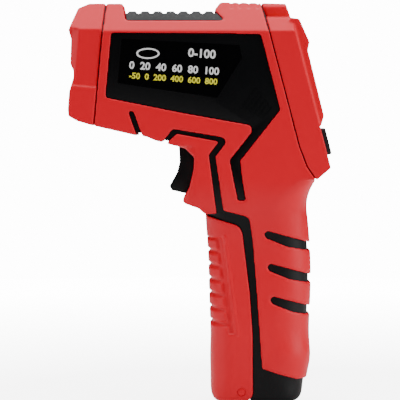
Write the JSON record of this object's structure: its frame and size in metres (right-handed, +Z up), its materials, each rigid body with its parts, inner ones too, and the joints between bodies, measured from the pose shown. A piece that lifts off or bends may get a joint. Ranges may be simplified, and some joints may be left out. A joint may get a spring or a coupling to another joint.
{
  "type": "infrared thermometer",
  "caption": "Pistol-shaped infrared thermometer with moulded covers, lens nose, tilted display with keys, sprung trigger and hinged battery door.",
  "frame": {"origin": "middle of the flat foot of the grip", "axes": "+Z up, -X the way the lens looks, +X the display side, -Y the left side"},
  "size_m": [0.1114, 0.046, 0.1699],
  "materials": {
    "cover": "soft-touch moulded cover",
    "casing": "fine matte moulded plastic",
    "core": "fine matte moulded plastic",
    "panel": "glossy moulded plate",
    "trigger_plastic": "satin moulded plastic",
    "rubber_trim": "matte moulded rubber",
    "barrel": "black anodised",
    "lens": "coated infrared lens",
    "clear_window": "clear polished plastic",
    "display_glass": "grey-green display glass",
    "white_plastic": "milky moulded plastic",
    "circuit_board": "lacquered board",
    "chips": "moulded component",
    "brass_parts": "turned",
    "steel": "zinc plated",
    "cell": "plain sleeve"
  },
  "bodies": {
    "body": {"backlight_diffuser": "white_plastic", "battery_cell_left": "cell", "battery_cell_right": "cell", "battery_contacts": "steel", "battery_springs": "steel", "battery_tray": "core", "board_chips": "chips", "board_screws": "steel", "buzzer": "chips", "case_screws": "steel", "display_window": "clear_window", "door_hinge_pin": "steel", "front_face_plate": "core", "ir_lens": "lens", "key_mat": "white_plastic", "laser_module": "brass_parts", "laser_window": "clear_window", "lcd_glass": "display_glass", "left_core_shell": "core", "left_red_cover": "cover", "left_side_panel": "panel", "left_trigger_cover": "cover", "lens_barrel": "barrel", "lens_retainer": "barrel", "main_board": "circuit_board", "nose_ring": "casing", "rear_bezel": "casing", "right_core_shell": "core", "right_red_cover": "cover", "right_side_panel": "panel", "right_trigger_cover": "cover", "sensor_board": "circuit_board", "sensor_holder": "brass_parts", "switch_board": "circuit_board", "thermopile_sensor": "steel", "top_grip_strip": "rubber_trim", "trigger_pivot_pin": "steel", "trigger_spring": "steel", "trigger_switch": "chips", "zebra_connector": "rubber_trim"},
    "trigger_blade": {"trigger": "trigger_plastic"},
    "plunger": {"switch_plunger": "white_plastic"},
    "door": {"battery_door": "casing"},
    "left_key": {"key_left": "rubber_trim"},
    "middle_key": {"key_middle": "rubber_trim"},
    "right_key": {"key_right": "rubber_trim"}
  },
  "joints": [
    {"name": "trigger_pull", "type": "hinge", "parent": "body", "child": "trigger_blade", "pos_m": [-0.0275, 0, 0.1135], "axis": [0, -1, 0], "range_deg": [0, 7], "stiffness_Nm_per_rad": 0.4, "springref_deg": -3.44, "deforming": ["trigger_spring"]},
    {"name": "switch_press", "type": "slide", "parent": "body", "child": "plunger", "axis": [1, 0, 0], "range_m": [0, 0.00165]},
    {"name": "door_swing", "type": "hinge", "parent": "body", "child": "door", "pos_m": [-0.0073, 0, 0.0048], "axis": [0, -1, 0], "range_deg": [0, 60]},
    {"name": "left_key_press", "type": "slide", "parent": "body", "child": "left_key", "axis": [-0.9675, 0, -0.2529], "range_m": [0, 0.0008], "stiffness_N_per_m": 700, "springref_m": -0.0003},
    {"name": "middle_key_press", "type": "slide", "parent": "body", "child": "middle_key", "axis": [-0.9675, 0, -0.2529], "range_m": [0, 0.0008], "stiffness_N_per_m": 700, "springref_m": -0.0003},
    {"name": "right_key_press", "type": "slide", "parent": "body", "child": "right_key", "axis": [-0.9675, 0, -0.2529], "range_m": [0, 0.0008], "stiffness_N_per_m": 700, "springref_m": -0.0003}
  ],
  "couplings": [
    {"joint": "switch_press", "follows": "trigger_pull", "m_per_rad": 0.0135}
  ]
}
